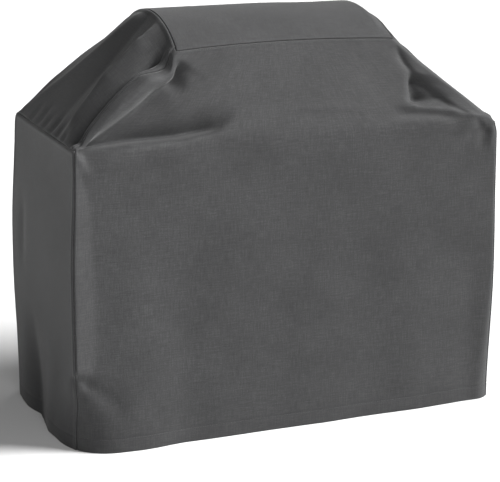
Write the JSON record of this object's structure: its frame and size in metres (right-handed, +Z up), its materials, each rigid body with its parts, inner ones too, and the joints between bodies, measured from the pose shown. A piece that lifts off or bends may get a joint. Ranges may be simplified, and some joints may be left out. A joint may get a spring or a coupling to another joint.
{
  "type": "grill cover",
  "caption": "Sewn cloth cover for a gas grill: rounded lid, sloping shoulders over the side shelves, straight skirt and hem straps with side-release buckles.",
  "frame": {"origin": "middle of the cover's mouth, at the level of the hem", "axes": "+X along the length, +Z up, front faces -Y"},
  "size_m": [1.22, 0.535, 1.12],
  "materials": {
    "cover_cloth": "matte woven polyester",
    "seam_tape": "smooth tape",
    "webbing": "ribbed webbing",
    "buckle_plastic": "moulded, fine matte grain",
    "label_satin": "satin, blank"
  },
  "bodies": {
    "cover": {"back_hem": "cover_cloth", "back_left_corner_tape": "seam_tape", "back_left_slope_tape": "seam_tape", "back_lid_seam_tape": "seam_tape", "back_panel": "cover_cloth", "back_right_corner_tape": "seam_tape", "back_right_slope_tape": "seam_tape", "care_label": "label_satin", "front_hem": "cover_cloth", "front_left_corner_tape": "seam_tape", "front_left_slope_tape": "seam_tape", "front_lid_seam_tape": "seam_tape", "front_panel": "cover_cloth", "front_right_corner_tape": "seam_tape", "front_right_slope_tape": "seam_tape", "left_buckle_socket": "buckle_plastic", "left_front_strap": "webbing", "left_front_strap_patch": "cover_cloth", "left_hem": "cover_cloth", "left_lid_end_tape": "seam_tape", "left_rear_strap": "webbing", "left_rear_strap_patch": "cover_cloth", "left_shelf_tape": "seam_tape", "left_side_panel": "cover_cloth", "left_slope_panel": "cover_cloth", "right_buckle_socket": "buckle_plastic", "right_front_strap": "webbing", "right_front_strap_patch": "cover_cloth", "right_hem": "cover_cloth", "right_lid_end_tape": "seam_tape", "right_rear_strap": "webbing", "right_rear_strap_patch": "cover_cloth", "right_shelf_tape": "seam_tape", "right_side_panel": "cover_cloth", "right_slope_panel": "cover_cloth", "top_panel": "cover_cloth"},
    "left_plug": {"left_buckle_plug": "buckle_plastic"},
    "left_upper_arm": {"left_buckle_upper_arm": "buckle_plastic"},
    "left_lower_arm": {"left_buckle_lower_arm": "buckle_plastic"},
    "right_plug": {"right_buckle_plug": "buckle_plastic"},
    "right_upper_arm": {"right_buckle_upper_arm": "buckle_plastic"},
    "right_lower_arm": {"right_buckle_lower_arm": "buckle_plastic"}
  },
  "joints": [
    {"name": "left_buckle_release", "type": "slide", "parent": "cover", "child": "left_plug", "axis": [0, -1, 0], "range_m": [0, 0.045], "deforming": ["left_front_strap", "left_buckle_upper_arm", "left_buckle_lower_arm"]},
    {"name": "left_upper_squeeze", "type": "hinge", "parent": "left_plug", "child": "left_upper_arm", "pos_m": [-0.598, 0.0012, 0.08275], "axis": [-1, 0, 0], "range_deg": [0, 10], "stiffness_Nm_per_rad": 0.02},
    {"name": "left_lower_squeeze", "type": "hinge", "parent": "left_plug", "child": "left_lower_arm", "pos_m": [-0.598, 0.0012, 0.06725], "axis": [1, 0, 0], "range_deg": [0, 10], "stiffness_Nm_per_rad": 0.02},
    {"name": "right_buckle_release", "type": "slide", "parent": "cover", "child": "right_plug", "axis": [0, -1, 0], "range_m": [0, 0.045], "deforming": ["right_front_strap", "right_buckle_upper_arm", "right_buckle_lower_arm"]},
    {"name": "right_upper_squeeze", "type": "hinge", "parent": "right_plug", "child": "right_upper_arm", "pos_m": [0.598, 0.0012, 0.08275], "axis": [-1, 0, 0], "range_deg": [0, 10], "stiffness_Nm_per_rad": 0.02},
    {"name": "right_lower_squeeze", "type": "hinge", "parent": "right_plug", "child": "right_lower_arm", "pos_m": [0.598, 0.0012, 0.06725], "axis": [1, 0, 0], "range_deg": [0, 10], "stiffness_Nm_per_rad": 0.02}
  ],
  "couplings": [
    {"joint": "left_lower_squeeze", "follows": "left_upper_squeeze", "ratio": 1},
    {"joint": "right_lower_squeeze", "follows": "right_upper_squeeze", "ratio": 1}
  ]
}
